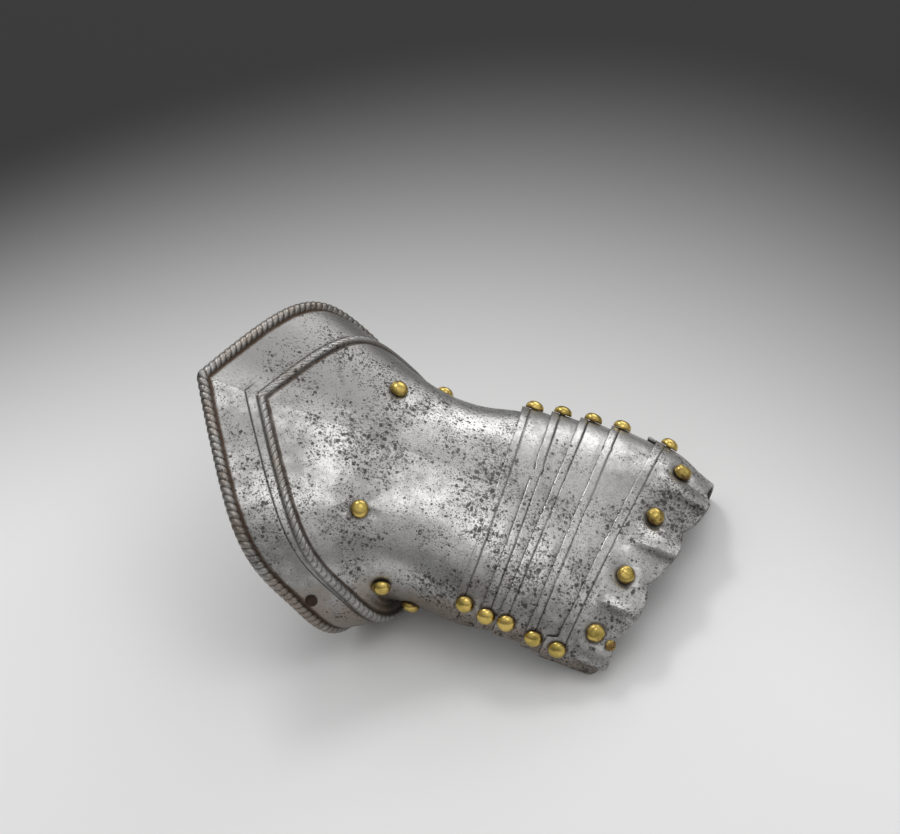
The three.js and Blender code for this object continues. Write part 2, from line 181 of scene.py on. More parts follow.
class Nodes:
    """A material's node tree, with short ways to add, link, measure and mix nodes."""

    def __init__(self, name):
        self.material = bpy.data.materials.new(name)
        self.material.use_nodes = True
        self.tree = self.material.node_tree
        self.shader = self.tree.nodes["Principled BSDF"]
        self.shader.inputs["Metallic"].default_value = 1.0
        self.spot = self.add("TexCoord").outputs["Object"]

    def add(self, kind, **settings):
        """A new node of that kind."""
        node = self.tree.nodes.new("ShaderNode" + kind)
        for key, value in settings.items():
            setattr(node, key, value)
        return node

    def feed(self, source, target, socket):
        """Links an output to one of a node's inputs."""
        self.tree.links.new(source, target.inputs[socket])

    def mark(self, name):
        """A value painted on the mesh."""
        return self.add("Attribute", attribute_name=name).outputs["Fac"]

    def emboss(self, height, strength, distance):
        """Lets a height shape the shading."""
        relief = self.add("Bump")
        relief.inputs["Strength"].default_value = strength
        relief.inputs["Distance"].default_value = distance
        self.feed(height, relief, "Height")
        self.feed(relief.outputs["Normal"], self.shader, "Normal")

    def grain(self, spot, scale, detail, rough=0.6, stretch=0.0):
        """Noise of that many waves a metre over the object's own coordinates."""
        noise = self.add("TexNoise")
        self.feed(spot, noise, "Vector")
        noise.inputs["Scale"].default_value = scale
        noise.inputs["Detail"].default_value = detail
        noise.inputs["Roughness"].default_value = rough
        noise.inputs["Distortion"].default_value = stretch
        return noise.outputs["Fac"]

    def span(self, value, low, high, to_low=0.0, to_high=1.0):
        """Stretches a value from low..high to to_low..to_high, with soft ends."""
        stretch = self.add("MapRange", interpolation_type="SMOOTHSTEP")
        self.feed(value, stretch, "Value")
        stretch.inputs["From Min"].default_value = low
        stretch.inputs["From Max"].default_value = high
        stretch.inputs["To Min"].default_value = to_low
        stretch.inputs["To Max"].default_value = to_high
        return stretch.outputs["Result"]

    def sums(self, operation, first, second):
        """One arithmetic step on two values."""
        step = self.add("Math", operation=operation)
        for slot, value in enumerate((first, second)):
            if isinstance(value, (int, float)):
                step.inputs[slot].default_value = value
            else:
                self.feed(value, step, slot)
        return step.outputs["Value"]

    def blend_colours(self, share, first, second):
        """One colour laid over another by share."""
        mix = self.add("Mix", data_type="RGBA")
        self.feed(share, mix, "Factor")
        for socket, colour in (("A", first), ("B", second)):
            if isinstance(colour, tuple):
                mix.inputs[socket].default_value = colour
            else:
                self.feed(colour, mix, socket)
        return mix.outputs["Result"]

    def flecks(self, spot, scale, density):
        """Round spots of uneven size, one to a cell at most, more and larger where density is high."""
        wobble = self.add("TexNoise")
        self.feed(spot, wobble, "Vector")
        wobble.inputs["Scale"].default_value = scale * 1.7
        moved = self.add("VectorMath", operation="MULTIPLY_ADD")
        self.feed(wobble.outputs["Color"], moved, 0)
        moved.inputs[1].default_value = (0.9 / scale, 0.9 / scale, 0.9 / scale)
        self.feed(spot, moved, 2)
        cells = self.add("TexVoronoi")
        self.feed(moved.outputs["Vector"], cells, "Vector")
        cells.inputs["Scale"].default_value = scale
        chance = self.add("SeparateColor")
        self.feed(cells.outputs["Color"], chance, "Color")
        far = self.sums("MULTIPLY", cells.outputs["Distance"], 0.7)
        far = self.sums("ADD", far, self.sums("MULTIPLY", chance.outputs["Red"], 0.8))
        return self.span(self.sums("SUBTRACT", far, density), 0.14, 0.34, 1.0, 0.0)


def old_steel(name, bright=STEEL_BRIGHT, dull_and_shade=STEEL_DULL_AND_SHADE, pitting=0.0, roughness=0.29):
    """Polished sheet steel with pits, patina, rust along its joins, darkened cuts and painted shade on
    its lower flanks, its index flank and its knuckle creases.
    """
    nodes = Nodes(name)
    spot = nodes.spot
    rust = nodes.mark("rust")
    cut_and_shade = nodes.mark("cut_and_shade")
    inside = nodes.mark("inside")
    wear_and_shade = nodes.mark("wear_and_shade")
    # painted shade on the index flank of the cuff
    painted_shade = nodes.mark("painted_shade")

    clouds = nodes.grain(spot, 26.0, 4.0)
    mottle = nodes.grain(spot, 170.0, 5.0, 0.7)
    dulled_and_shaded = nodes.sums("ADD", clouds, nodes.sums("MULTIPLY", mottle, 0.55))
    dulled_and_shaded = nodes.span(dulled_and_shaded, 0.62, 0.98)
    # painted shade: the marked flanks are pushed to the dull colour
    dulled_and_shaded = nodes.sums("MAXIMUM", dulled_and_shaded, nodes.sums("MAXIMUM", wear_and_shade, painted_shade))
    colour = nodes.blend_colours(dulled_and_shaded, bright, dull_and_shade)
    # painted shade: the marked lower flanks are browned as well as dulled
    browned = nodes.sums("MULTIPLY", nodes.grain(spot, 48.0, 5.0), nodes.sums("ADD", wear_and_shade, 0.55))
    browned = nodes.span(browned, 0.40, 0.75)
    colour = nodes.blend_colours(nodes.sums("MULTIPLY", browned, 0.7), colour, STEEL_BROWN)

    pitted = nodes.mark("pitted")
    patches = nodes.span(nodes.grain(spot, 42.0, 5.0, 0.62), 0.36, 0.66, -0.12, 0.22)
    patches = nodes.sums("ADD", patches, nodes.sums("MULTIPLY", pitted, 0.22))
    patches = nodes.sums("ADD", patches, pitting)
    fine = nodes.flecks(spot, 1500.0, nodes.sums("ADD", patches, 0.05))
    large = nodes.flecks(spot, 640.0, nodes.sums("SUBTRACT", patches, 0.06))
    pits = nodes.sums("MAXIMUM", nodes.sums("MULTIPLY", fine, 0.7), large)
    peppered = nodes.span(nodes.grain(spot, 1300.0, 3.0, 0.75), 0.44, 0.68, 0.0, 0.55)
    colour = nodes.blend_colours(peppered, colour, STEEL_PEPPER)
    colour = nodes.blend_colours(nodes.sums("MULTIPLY", pits, 0.8), colour, PIT_BLACK)

    rusted = nodes.span(nodes.sums("ADD", rust, nodes.sums("MULTIPLY", mottle, 0.4)), 0.42, 0.95)
    colour = nodes.blend_colours(rusted, colour, RUST_BROWN)
    # cuts and grooves are darkened, and the knuckle creases as painted shade
    colour = nodes.blend_colours(cut_and_shade, colour, CUT_AND_SHADE_BLACK)
    colour = nodes.blend_colours(inside, colour, INSIDE_BLACK)
    nodes.feed(colour, nodes.shader, "Base Color")

    aged = nodes.sums("MAXIMUM", nodes.sums("MAXIMUM", rusted, inside), pits)
    matt = nodes.sums("ADD", roughness, nodes.sums("MULTIPLY", dulled_and_shaded, 0.14))
    matt = nodes.sums("ADD", matt, nodes.sums("MULTIPLY", aged, 0.25))
    nodes.feed(matt, nodes.shader, "Roughness")

    scuffs = nodes.sums("MULTIPLY", nodes.grain(spot, 620.0, 3.0, 0.7), 1.1)
    dips = nodes.sums("ADD", nodes.sums("MULTIPLY", mottle, 0.6), scuffs)
    dips = nodes.sums("SUBTRACT", dips, pits)
    nodes.emboss(dips, 0.6, 0.16 * MM)
    return nodes.material


STEEL = old_steel("old_polished_steel")

# --- Cuff ---------------------------------------------------------------------------------------
# One sheet of steel raised to a flared cone and closed by a seam under the wrist, with a keel
# along its top. A line is incised round it and a small roped band is raised in front of that.
PLATE = 1.2
GLOVE_TURN = Matrix.Rotation(math.radians(22.07), 3, "Y") @ Matrix.Rotation(math.radians(7.48), 3, "X")
GLOVE_PLACE = np.array((-0.10276491, -0.00413713, 0.10700255))
# crest, slant, crest drop, half width, side drop, under drop, power, keel
SECTIONS = np.array([
    (3, 99, 0, 66, 33, 70, 3.0, 3.0),
    (15, 97, 0, 61, 31, 66, 3.0, 3.0),
    (29, 90, 0, 56, 29.5, 61, 3.0, 2.8),
    (60, 54, 0, 50.5, 29, 58, 2.7, 2.4),
    (90, 19, 0, 46.5, 29.5, 57, 2.4, 1.6),
    (113, 5, 0, 45, 28, 56, 2.3, 1.0),
    (134, 0, 0, 48, 24, 56, 2.3, 0.5),
    (158, 0, 0, 50.5, 20, 54, 2.4, 0.2),
    (181, 0, 0, 53, 21, 54, 2.4, 0.0),
    (202, 0, 1, 53, 24, 54, 2.4, 0.0),
    (226, 0, 5, 46, 28, 54, 2.4, 0.0),
])
UNDER_POWER = 2.6
SLANT_BULGE = 0.29
SWAY = 0.03
KEEL_ANGLE = 34.0


def section_at(crest):
    """The rows of SECTIONS worked out smoothly at any crest distances."""
    row = np.searchsorted(SECTIONS[1:-1, 0], crest, side="left")
    here, ahead = SECTIONS[row], SECTIONS[row + 1]
    before = SECTIONS[np.maximum(row - 1, 0)]
    after = SECTIONS[np.minimum(row + 2, len(SECTIONS) - 1)]
    length = (ahead[..., 0] - here[..., 0])[..., None]
    t = (crest - here[..., 0])[..., None] / length
    leaving = (ahead - before) * length / (ahead - before)[..., :1]
    arriving = (after - here) * length / (after - here)[..., :1]
    curve = (2 * t - 3) * t * t
    return (
        here * (1 + curve) - ahead * curve
        + leaving * t * (1 - t) ** 2 - arriving * t * t * (1 - t)
    )


def glove_point(crest, angle):
    """Points of the glove's inner surface in millimetres; angle 0 is the crest, 90 the index side."""
    crest, angle = np.broadcast_arrays(np.asarray(crest, float), np.asarray(angle, float))
    _, slant, crest_drop, half_width, side_drop, under_drop, power, keel = np.moveaxis(
        section_at(crest), -1, 0
    )
    side, up = np.sin(np.radians(angle)), np.cos(np.radians(angle))
    power = np.where(up > 0, power, UNDER_POWER)
    size = (np.abs(side) ** power + np.abs(up) ** power) ** (1 / power)
    depth = np.where(up > 0, side_drop - crest_drop, under_drop - side_drop)
    turn = np.abs(angle) / 180
    forward = slant * (turn * (1 + SLANT_BULGE * np.sin(np.pi * turn)) - SWAY * side)
    ridge = keel * np.maximum(0, 1 - np.abs(angle) / KEEL_ANGLE) ** 2
    height = depth * up / size - side_drop + ridge
    return np.stack([crest + forward, half_width * side / size, height], -1)


def glove_normal(crest, angle, step=0.5):
    """Outward normals of that surface."""
    along = glove_point(crest + step, angle) - glove_point(crest - step, angle)
    around = glove_point(crest, angle + step) - glove_point(crest, angle - step)
    normal = np.cross(along, around)
    return normal / np.linalg.norm(normal, axis=-1, keepdims=True)


def raised_point(crest, angle, height):
    """Points at a height over the glove's inner surface."""
    return glove_point(crest, angle) + glove_normal(crest, angle) * np.asarray(height)[..., None]


def lay(points):
    """From the glove's own millimetres to where it lies on the floor, in metres."""
    return points @ np.array(GLOVE_TURN).T * MM + GLOVE_PLACE


def fade(value, low, high):
    """0 below low, 1 above high, smooth between."""
    t = np.clip((value - low) / (high - low), 0, 1)
    return t * t * (3 - 2 * t)


def ripple(seed, *waves):
    """A smooth uneven surface from a few sine waves; each wave is (length in mm, height in mm)."""
    chance = np.random.default_rng(seed)
    turns = []
    for length, height in waves:
        for _ in range(5):
            way = chance.normal(size=3)
            way *= 2 * np.pi / length / np.linalg.norm(way)
            turns.append((way, chance.uniform(0, 6.28), height / 5))

    def height_at(points):
        return sum(high * np.sin(points @ way + start) for way, start, high in turns)

    return height_at


def finish_piece(name, mesh, body, material, replaced=(), marks=None, sharp=38.0):
    """Puts a mesh into the scene as a piece that rides on a body."""
    for mark, values in (marks or {}).items():
        layer = mesh.attributes.new(mark, "FLOAT", "POINT")
        layer.data.foreach_set("value", values.astype(np.float32))
    mesh.shade_smooth()
    mesh.set_sharp_from_angle(angle=math.radians(sharp))
    mesh.materials.append(material)
    piece = bpy.data.objects.new(name, mesh)
    bpy.context.scene.collection.objects.link(piece)
    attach(piece, body)
    if replaced:
        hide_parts(*replaced)
    return piece


def bend_sheet(name, lines, columns, shape):
    """Sheet metal: a slab divided into lines along the glove and columns round it, then bent to
    shape(line, column, outer), which gives points in millimetres and the marks painted on them."""
    metal = bmesh.new()
    bmesh.ops.create_grid(metal, x_segments=lines - 1, y_segments=columns - 1, size=0.5)
    pushed = bmesh.ops.extrude_face_region(metal, geom=metal.faces[:])["geom"]
    lifted = [part for part in pushed if isinstance(part, bmesh.types.BMVert)]
    bmesh.ops.translate(metal, verts=lifted, vec=(0, 0, 1))
    bmesh.ops.recalc_face_normals(metal, faces=metal.faces[:])
    mesh = bpy.data.meshes.new(name)
    metal.to_mesh(mesh)
    metal.free()
    flat = np.empty(len(mesh.vertices) * 3, np.float32)
    mesh.vertices.foreach_get("co", flat)
    flat = flat.reshape(-1, 3)
    line = np.rint((flat[:, 0] + 0.5) * (lines - 1)).astype(int)
    column = np.rint((flat[:, 1] + 0.5) * (columns - 1)).astype(int)
    points, marks = shape(line, column, flat[:, 2] > 0.5)
    mesh.vertices.foreach_set("co", lay(points).astype(np.float32).ravel())
    mesh.update()
    return mesh, marks


def near(points, crest, angle, height=PLATE):
    """How far, in millimetres, points are from one spot of the glove."""
    return np.linalg.norm(points - raised_point(crest, angle, height), axis=-1)


def groove(distance, width):
    """Cross section of a cut: 1 at its bottom, 0 beyond its width."""
    return np.maximum(0, 1 - np.abs(distance) / width)


def bound_edges(distance, radius=0.45):
    """How much the outer face falls at a softened edge."""
    return 0.5 * radius * np.maximum(0, 1 - distance / radius) ** 2


SEAM_ANGLE = 177.0
BAND_CREST = 29.0
BAND_HALF = 1.6
INCISED_CREST = 22.0
CUFF_FRONT = 140.9
TAB_ANGLE, TAB_HALF, TAB_LENGTH = 110.0, 8.0, 5.0
PALM_FRONT = 122.0
LINING_RIVETS = [
    ("lining_rivet_1_index", 75, 34), ("lining_rivet_2_index", 91, 80),
    ("lining_rivet_3_index", 113, 118), ("lining_rivet_1_little", 74, -37),
    ("lining_rivet_2_little", 90, -88), ("lining_rivet_3_little", 113, -118),
]
STUB_RIVET = ("cuff_stub_rivet", 10, -91)
CUFF_LINES = np.concatenate([
    np.arange(3.0, 20.6, 1.1), np.arange(20.9, 23.2, 0.28), np.arange(23.6, 25.0, 0.7),
    np.arange(25.2, 33.6, 0.32), np.arange(34.0, 120.0, 1.15),
])
CUFF_FRONT_LINES = 18
CUFF_COLUMNS = np.unique(np.concatenate([
    np.linspace(-SEAM_ANGLE, -125, 34), np.linspace(-125, 125, 262), np.linspace(125, SEAM_ANGLE, 34),
    [0.0, -0.4, 0.4],
]))
# crest, angle, radius and depth in millimetres of the dents left in the cuff
CUFF_DENTS = [(61, 11.5, 3.2, 0.55), (47, -48, 9.0, 0.45), (84, -20, 11.0, 0.35), (56, -62, 8.0, 0.4)]
# crest and angle at both ends of the short slanting nicks
CUFF_NICKS = [((42, 30), (47, 25)), ((47.5, 26), (52, 22)), ((49, 32), (52, 29))]


def cuff_front(angle):
    """The cuff's front edge: two side tabs, and further back under the wrist."""
    around = np.abs(angle)
    tab = TAB_LENGTH * np.maximum(0, 1 - np.abs(around - TAB_ANGLE) / TAB_HALF)
    palm = fade(around, TAB_ANGLE + TAB_HALF, TAB_ANGLE + 3 * TAB_HALF)
    return (CUFF_FRONT + tab) * (1 - palm) + PALM_FRONT * palm


def line_spacing(crest, angle):
    """Millimetres square across the surface for each millimetre of crest distance."""
    along = glove_point(crest + 0.5, angle) - glove_point(crest - 0.5, angle)
    around = glove_point(crest, angle + 0.5) - glove_point(crest, angle - 0.5)
    area = np.linalg.norm(np.cross(along, around), axis=-1)
    return area / np.linalg.norm(around, axis=-1)


def to_segment(points, start, end):
    """Distance in millimetres from points to a straight cut between two spots of the cuff."""
    a = raised_point(*map(float, start), PLATE)
    b = raised_point(*map(float, end), PLATE)
    t = np.clip((points - a) @ (b - a) / ((b - a) @ (b - a)), 0, 1)
    return np.linalg.norm(points - a - t[:, None] * (b - a), axis=-1)


def cuff_shape(line, column, outer):
    """The cuff's faces, with its dents, cuts and bruise."""
    angle = CUFF_COLUMNS[column]
    fixed = len(CUFF_LINES)
    last = CUFF_LINES[-1]
    ahead = np.maximum(line - fixed + 1, 0) / CUFF_FRONT_LINES
    crest = last + (cuff_front(angle) - last) * ahead
    crest = np.where(line < fixed, CUFF_LINES[np.minimum(line, fixed - 1)], crest)
    face = raised_point(crest, angle, np.full(crest.shape, PLATE))
    band = (crest - BAND_CREST) * line_spacing(np.full(angle.shape, BAND_CREST), angle)
    behind = (crest - INCISED_CREST) * line_spacing(np.full(angle.shape, INCISED_CREST), angle)
    incised = groove(behind, 0.45) * fade(-angle, -9, 0)
    gutters = np.maximum(groove(band + 1.95, 0.5), groove(band - 2.0, 0.6))
    step = 0.35 * fade(-np.abs(band), -2.6, -1.6)
    height = PLATE + step - 0.30 * incised - 0.35 * gutters
    height += ripple(3, (23, 0.22), (11, 0.07))(face) * fade(crest, 33, 40)
    height += ripple(4, (17, 0.10))(face)
    for at, around, radius, depth in CUFF_DENTS:
        height -= depth * np.exp(-(near(face, at, around) / radius) ** 2)
    nicked = np.zeros(len(crest))
    for start, end in CUFF_NICKS:
        nicked = np.maximum(nicked, groove(to_segment(face, start, end), 0.7))
    height -= 0.25 * nicked
    # the star-shaped bruise hammered round one lining rivet
    bruise = near(face, 74, -37)
    off = face - glove_point(74, -37)
    spokes = 0.5 + 0.5 * np.cos(7 * np.arctan2(off[:, 1], off[:, 0]))
    height -= 0.45 * np.exp(-(bruise / (5.5 + 2.5 * spokes)) ** 4) * (0.4 + 0.6 * spokes)
    ring = np.zeros(len(crest))
    for _, at, around in LINING_RIVETS:
        ring = np.maximum(ring, fade(-near(face, at, around), -6.2, -4.2))
    seam_edge = (SEAM_ANGLE - np.abs(angle)) * 0.6
    height -= bound_edges(seam_edge)
    height -= bound_edges((cuff_front(angle) - crest) * 0.9)
    height = np.where(outer, height, 0.0)
    rust = np.maximum(
        0.62 * fade(-np.abs(band - 2.6), -1.6, -0.2),
        0.72 * fade(-(crest - 3.0) * line_spacing(np.full(angle.shape, 3.0), angle), -5.2, -2.9),
    )
    rust = np.maximum(rust, 0.42 * ring)
    rust = np.maximum(rust, 0.35 * fade(-seam_edge, -9, -2))
    marks = {
        "rust": np.where(outer, rust, 0.5),
        "cut_and_shade": np.where(outer, np.maximum.reduce([0.85 * incised, 0.8 * gutters, 0.6 * nicked]), 0.0),
        "inside": np.where(outer, 0.0, 1.0),
        # painted shade: the lower flanks, where the glove faces down, are dulled and browned
        "wear_and_shade": 0.85 * fade(np.abs(angle), 62, 104),
        # painted shade: darkens the index flank of the cuff's rear part
        "painted_shade": fade(angle, 0, 16) * fade(-crest, -96, -66),
        "pitted": (
            0.35 + 0.35 * fade(crest, 30, 70) * fade(angle, -30, 30) + 0.3 * fade(crest, 95, 120)
        ),
    }
    return raised_point(crest, angle, height), marks


cuff_mesh, cuff_marks = bend_sheet(
    "cuff_sheet", len(CUFF_LINES) + CUFF_FRONT_LINES, len(CUFF_COLUMNS), cuff_shape
)
finish_piece("cuff_sheet", cuff_mesh, "cuff", STEEL, ["cuff_plate"], cuff_marks)

# --- Roped rim ----------------------------------------------------------------------------------
# The rim is turned outwards over a wire and filed all along with slanting grooves, like rope.
RIM_RADIUS = 2.45
RIM_PITCH = 3.3
RIM_STARTS = 2
RIM_DEPTH = 0.55
RIM_SIDES = 30
RIM_STEPS = 1180


def walk_round(crest, steps, height):
    """Evenly spaced angles round the glove, with the distance walked, at one crest distance."""
    fine = np.linspace(-SEAM_ANGLE, SEAM_ANGLE, 4000)
    track = raised_point(np.full(fine.shape, crest), fine, np.full(fine.shape, height))
    walked = np.concatenate([[0], np.cumsum(np.linalg.norm(np.diff(track, axis=0), axis=1))])
    even = np.linspace(0, walked[-1], steps)
    return np.interp(even, walked, fine), even


rim_angles, rim_walk = walk_round(3.0, RIM_STEPS, PLATE / 2)
rim_line = raised_point(np.full(rim_angles.shape, 3.0), rim_angles, np.full(rim_angles.shape, PLATE / 2))
rim_up = glove_normal(np.full(rim_angles.shape, 3.0), rim_angles)
rim_way = np.gradient(rim_line, axis=0)
for _ in range(6):
    rim_way[1:-1] = (rim_way[:-2] + 2 * rim_way[1:-1] + rim_way[2:]) / 4
rim_way /= np.linalg.norm(rim_way, axis=1, keepdims=True)
rim_out = np.cross(rim_way, rim_up)
rim_out /= np.linalg.norm(rim_out, axis=1, keepdims=True)
rim_up = np.cross(rim_out, rim_way)
rope = bmesh.new()
bmesh.ops.create_grid(rope, x_segments=RIM_STEPS - 1, y_segments=RIM_SIDES, size=0.5)
rope.verts.ensure_lookup_table()
rim_flat = np.array([v.co[:2] for v in rope.verts]) + 0.5
rim_step = np.rint(rim_flat[:, 0] * (RIM_STEPS - 1)).astype(int)
rim_turn = np.rint(rim_flat[:, 1] * RIM_SIDES) / RIM_SIDES * 2 * np.pi
lay_phase = (rim_walk[rim_step] / RIM_PITCH + RIM_STARTS * rim_turn / (2 * np.pi)) % 1.0
strand = np.abs(np.sin(np.pi * lay_phase)) ** 0.55
rim_radius = RIM_RADIUS - RIM_DEPTH * (1 - strand)
rim_points = rim_line[rim_step] + rim_radius[:, None] * (
    np.cos(rim_turn)[:, None] * rim_up[rim_step] + np.sin(rim_turn)[:, None] * rim_out[rim_step]
)
for vert, spot in zip(rope.verts, lay(rim_points)):
    vert.co = spot
RIM_MARKS = {
    "rust": 0.28 + 0.45 * fade(-np.cos(rim_turn) , 0.1, 0.9),
    "cut_and_shade": 0.9 * fade(-strand, -0.62, -0.22),
    "inside": np.zeros(len(rim_turn)),
    # dulls the rim all over and most in the rope's grooves
    "wear_and_shade": 0.6 + 0.4 * (1 - strand),
}
mark_layers = {mark: rope.verts.layers.float.new(mark) for mark in RIM_MARKS}
for mark, layer in mark_layers.items():
    for vert, value in zip(rope.verts, RIM_MARKS[mark]):
        vert[layer] = value
bmesh.ops.remove_doubles(rope, verts=rope.verts[:], dist=1e-6)
bmesh.ops.holes_fill(rope, edges=[e for e in rope.edges if e.is_boundary])
bmesh.ops.recalc_face_normals(rope, faces=rope.faces[:])
rim_mesh = bpy.data.meshes.new("rim_rope")
rope.to_mesh(rim_mesh)
rope.free()
finish_piece("rim_rope", rim_mesh, "cuff", STEEL, sharp=60.0)

# --- Roped band ---------------------------------------------------------------------------------
# The small raised band in front of the rim, cut with long slanting strokes like a thin rope.
BAND_RISE = 1.1
BAND_PITCH = 3.2
BAND_SLOPE = 1.25
BAND_COLUMNS = 1500
BAND_LINES = 13
band_angles, band_walk = walk_round(BAND_CREST, BAND_COLUMNS, PLATE)
band_spacing = line_spacing(np.full(band_angles.shape, BAND_CREST), band_angles)


def band_shape(line, column, outer):
    """The band's rounded face with its slanting strokes."""
    angle = band_angles[column]
    off = (line / (BAND_LINES - 1) * 2 - 1) * BAND_HALF
    crest = BAND_CREST + off / band_spacing[column]
    lay_phase = ((band_walk[column] - BAND_SLOPE * off) / BAND_PITCH) % 1.0
    stroke = np.maximum(0, 1 - np.abs(lay_phase - 0.5) / 0.17)
    crown = np.sqrt(np.maximum(0, 1 - (off / (BAND_HALF * 1.04)) ** 2))
    height = PLATE + 0.1 + BAND_RISE * crown - 0.42 * stroke * crown
    marks = {
        "rust": 0.30 * (1 - crown) + 0.1,
        "cut_and_shade": 0.6 * stroke,
        "inside": np.zeros(len(line)),
        # dulls the band most towards its sides
        "wear_and_shade": 0.35 + 0.45 * (1 - crown),
    }
    return raised_point(crest, angle, np.where(outer, height, PLATE * 0.5)), marks


band_mesh, band_marks = bend_sheet("roped_band", BAND_LINES, BAND_COLUMNS, band_shape)
finish_piece("roped_band", band_mesh, "cuff", STEEL, [], band_marks, 60.0)

# --- Lames --------------------------------------------------------------------------------------
# Four narrow steel plates over the back of the hand. Each has a raised rear edge with a line
# incised behind it, rides over the plate behind it and turns on a rivet at either side.
PLATES = [
    {"name": "metacarpal_lame_1", "index": 134.4, "little": 134.4, "pivots": ((139.6, 70), (139.0, -74))},
    {"name": "metacarpal_lame_2", "index": 147.0, "little": 146.2, "pivots": ((151.4, 70), (148.9, -77))},
    {"name": "metacarpal_lame_3", "index": 159.2, "little": 153.6, "pivots": ((164.2, 70), (157.6, -76))},
    {"name": "metacarpal_lame_4", "index": 172.6, "little": 166.3, "pivots": ((176.6, 70), (170.3, -79))},
    {"name": "knuckle_plate", "index": 192.8, "little": 179.0, "pivots": ((197.4, 70), (181.0, -78))},
]
KNUCKLES = 4
SHINGLE_GAP = 0.5
UNDERLAP = 6.5
REACH_INDEX, REACH_LITTLE = 100.0, -99.0
KNUCKLE_FRONT = (221.5, 197.5)
EAR_ANGLE, EAR_LENGTH = 68.0, 4.2
SCALLOP, FRONT_BOW = 3.5, 2.8
KNUCKLE_RISE, KNUCKLE_START, KNUCKLE_RUN = 3.8, 6.0, 18.0
SWELL_SHARE, DROP_SHARE = 0.76, 0.44
VALLEYS = np.array([43.0, 11.0, -22.0, -55.0, -100.0])
INCISED_AHEAD = 3.5


def across(index, little, angle):
    """Shares a length given at the two sides of the glove over the arch between them."""
    side = np.sin(np.radians(np.clip(angle, -90, 90)))
    return index + (little - index) * (1 - side) / 2


def rear_edge(plate, angle):
    edge = across(PLATES[plate]["index"], PLATES[plate]["little"], angle)
    ear = fade(np.abs(angle), EAR_ANGLE, EAR_ANGLE + 4) if plate == KNUCKLES else 0.0
    return edge - EAR_LENGTH * ear


def knuckle_place(angle):
    """-1 and 1 in the valleys beside a knuckle, 0 midway between them."""
    place = np.ones(np.shape(angle))
    for high, low in zip(VALLEYS[:-1], VALLEYS[1:]):
        place = np.where((angle <= high) & (angle >= low), 2 * (angle - high) / (low - high) - 1, place)
    return place


def front_edge(plate, angle):
    if plate < KNUCKLES:
        return across(PLATES[plate + 1]["index"], PLATES[plate + 1]["little"], angle) + UNDERLAP
    bow = FRONT_BOW * np.maximum(0, 1 - ((angle + 12) / 78) ** 2)
    return across(*KNUCKLE_FRONT, angle) + bow + SCALLOP * (1 - np.abs(knuckle_place(angle)) ** 2.6)


def plate_height(plate, crest, angle):
    """Height of a plate's inner face over the glove, from its raised rear edge to its front."""
    rear = across(PLATES[plate]["index"], PLATES[plate]["little"], angle)
    front = front_edge(plate, angle) if plate < KNUCKLES else rear + 24
    length = front - rear
    behind = plate_height(plate - 1, rear, angle) if plate else 0.0
    step = PLATE + SHINGLE_GAP
    top = np.maximum(step * length / (length - UNDERLAP), step + behind)
    return np.maximum(0, top * (front - crest) / length)


def knuckle_rise(crest, angle):
    start = rear_edge(KNUCKLES, np.clip(angle, -EAR_ANGLE, EAR_ANGLE)) + KNUCKLE_START
    place = knuckle_place(angle)
    swell = 1 - np.clip(-place / SWELL_SHARE, 0, 1) ** 2
    drop = (1 - np.clip(place / DROP_SHARE, 0, 1)) ** 1.5
    run = 0.4 * fade(crest, start, start + 5) + 0.6 * fade(crest, start + 2, start + KNUCKLE_RUN)
    return KNUCKLE_RISE * run * np.where(place < 0, swell ** 1.3, drop)


def plate_face(plate, crest, angle):
    rise = knuckle_rise(crest, angle) if plate == KNUCKLES else 0.0
    return plate_height(plate, crest, angle) + rise


LAME_LINES = 46
LAME_COLUMNS = np.linspace(REACH_LITTLE, REACH_INDEX, 300)
# plate, angle, width and depth in millimetres of nicks worn into the rear edges
EDGE_NICKS = [
    (1, 14, 2.2, 0.7), (0, -30, 1.6, 0.35), (2, -8, 1.4, 0.3), (3, 38, 1.8, 0.35), (2, -52, 2.0, 0.4),
]


def edge_wear(plate, angle):
    """How far an old rear edge has worn back."""
    chance = np.random.default_rng(20 + plate)
    worn = 0.0
    for waves in (9, 17, 31, 58):
        worn = worn + 0.03 * np.sin(np.radians(angle) * waves + chance.uniform(0, 6.28))
    for where, around, width, depth in EDGE_NICKS:
        if where == plate:
            worn = worn + depth * np.exp(-((angle - around) / width) ** 2)
    return worn


